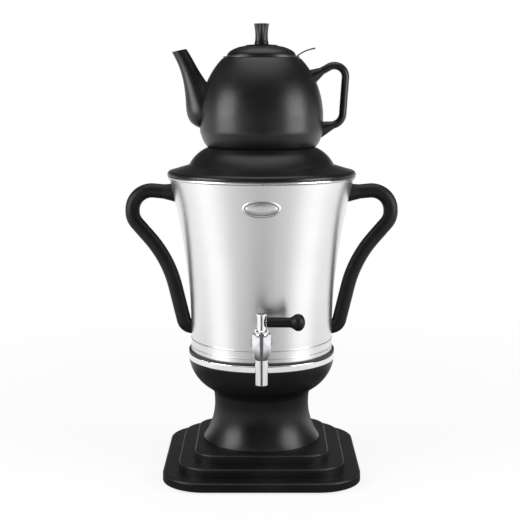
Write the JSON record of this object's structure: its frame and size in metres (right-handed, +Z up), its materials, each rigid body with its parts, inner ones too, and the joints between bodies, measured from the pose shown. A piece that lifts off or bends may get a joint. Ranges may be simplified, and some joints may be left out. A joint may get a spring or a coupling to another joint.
{
  "type": "samovar",
  "caption": "Electric samovar: flared steel water tank with side handles and a lever tap, on a stepped square foot, with a black teapot standing in its lid.",
  "frame": {"origin": "on the axis of the tank, at the level of the feet's undersides", "axes": "+Z up along the tank's axis, -Y towards the tap and the badge, +X towards the teapot's handle"},
  "size_m": [0.2792, 0.2005, 0.4553],
  "materials": {
    "stainless": "satin steel with a fine vertical grain",
    "inner_steel": "plain pressed steel",
    "chrome": "bright chrome plate",
    "black_gloss": "black moulded, satin gloss",
    "black_grip": "black moulded grip, satin",
    "black_glaze": "glazed stoneware, glossy black",
    "white_ceramic": "unglazed white ceramic",
    "rubber_dark": "matte black rubber",
    "silicone": "grey silicone",
    "aluminium": "cast, matte",
    "screw_steel": "zinc plated",
    "phenolic": "dark phenolic moulding",
    "cover_plastic": "fine textured black",
    "brass": "bare brass",
    "rocker_red": "red moulded key"
  },
  "bodies": {
    "stand": {"plinth": "black_gloss", "base_cover": "cover_plastic", "base_cover_screws": "screw_steel", "foot_front_left": "rubber_dark", "foot_front_right": "rubber_dark", "foot_back_left": "rubber_dark", "foot_back_right": "rubber_dark", "column": "black_gloss", "column_screws": "screw_steel", "heater_housing": "black_gloss", "chrome_band": "chrome", "tank_seal": "rubber_dark", "tank_shell": "stainless", "tank_bottom": "inner_steel", "heater_plate": "aluminium", "heater_tube": "inner_steel", "heater_insulators": "white_ceramic", "thermostat": "phenolic", "thermal_fuse": "white_ceramic", "tie_rods": "screw_steel", "tie_nuts": "screw_steel", "mains_inlet": "cover_plastic", "inlet_pins": "brass", "switch_body": "cover_plastic", "wiring": "silicone", "handle_left": "black_grip", "handle_right": "black_grip", "handle_washers": "silicone", "handle_screws": "screw_steel", "badge": "chrome", "tap_body": "chrome", "tap_outer_gasket": "silicone", "tap_inner_gasket": "silicone", "tap_nut": "brass", "tap_bonnet": "chrome"},
    "tap_lever": {"tap_plug": "chrome", "plug_seal": "rubber_dark", "lever_pin": "chrome", "lever_grip": "black_grip", "stem_cap": "chrome"},
    "switch_key": {"rocker": "rocker_red"},
    "lid": {"samovar_lid": "black_gloss", "steam_plate": "inner_steel", "lid_gasket": "silicone"},
    "teapot": {"teapot_body": "black_glaze", "teapot_spout": "black_glaze", "teapot_handle": "black_glaze"},
    "strainer": {"tea_strainer": "inner_steel"},
    "teapot_cover": {"teapot_lid": "black_glaze", "teapot_lid_knob": "black_gloss", "knob_screw": "screw_steel"}
  },
  "joints": [
    {"name": "tap_turn", "type": "hinge", "parent": "stand", "child": "tap_lever", "pos_m": [0, -0.09166, 0.1473], "axis": [0, 0, -1], "range_deg": [0, 90]},
    {"name": "switch_tip", "type": "hinge", "parent": "stand", "child": "switch_key", "pos_m": [0.016, 0.0765, 0.0995], "axis": [-1, 0, 0], "range_deg": [0, 12]},
    {"name": "lid_lift", "type": "slide", "parent": "stand", "child": "lid", "axis": [0, 0, 1], "range_m": [0, 0.1]},
    {"name": "teapot_lift", "type": "slide", "parent": "lid", "child": "teapot", "axis": [0, 0, 1], "range_m": [0, 0.1]},
    {"name": "strainer_lift", "type": "slide", "parent": "teapot", "child": "strainer", "axis": [0, 0, 1], "range_m": [0, 0.06]},
    {"name": "teapot_lid_lift", "type": "slide", "parent": "strainer", "child": "teapot_cover", "axis": [0, 0, 1], "range_m": [0, 0.04]}
  ]
}
